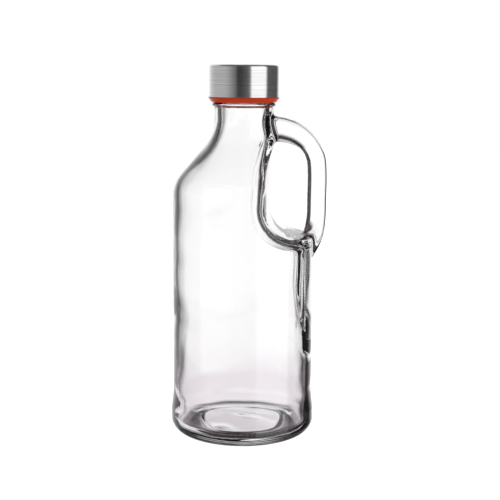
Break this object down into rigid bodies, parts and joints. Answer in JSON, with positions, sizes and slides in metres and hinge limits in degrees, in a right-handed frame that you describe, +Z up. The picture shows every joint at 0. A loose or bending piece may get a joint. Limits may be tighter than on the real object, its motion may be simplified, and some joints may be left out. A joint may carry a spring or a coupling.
{
  "type": "glass water jug",
  "caption": "Tall clear glass water jug with a solid glass loop handle in a side recess and a brushed steel screw cap on an orange seal.",
  "frame": {"origin": "middle of the ring that the jug stands on, on the jug's axis", "axes": "+Z up along the jug's axis, +X from the axis towards the handle, +Y across, out through the side of the handle's recess"},
  "size_m": [0.1176, 0.1094, 0.2803],
  "materials": {
    "clear_glass": "clear soda-lime glass, fire polished, with a slightly wavy inside",
    "brushed_steel": "fine brushing round the side",
    "orange_plastic": "smooth moulded polypropylene",
    "white_silicone": "matte food-grade silicone"
  },
  "bodies": {
    "bottle": {"glass_body": "clear_glass", "glass_handle": "clear_glass"},
    "seal": {"cap_gasket": "white_silicone"},
    "cap": {"cap_shell": "brushed_steel", "cap_insert": "orange_plastic"}
  },
  "joints": [
    {"name": "cap_rise", "type": "slide", "parent": "bottle", "child": "seal", "axis": [0, 0, 1], "range_m": [0, 0.03]},
    {"name": "cap_turn", "type": "hinge", "parent": "seal", "child": "cap", "pos_m": [0, 0, 0.2658], "axis": [0, 0, 1], "range_deg": [0, 1350]}
  ],
  "couplings": [
    {"joint": "cap_rise", "follows": "cap_turn", "m_per_rad": 0.0012732}
  ]
}
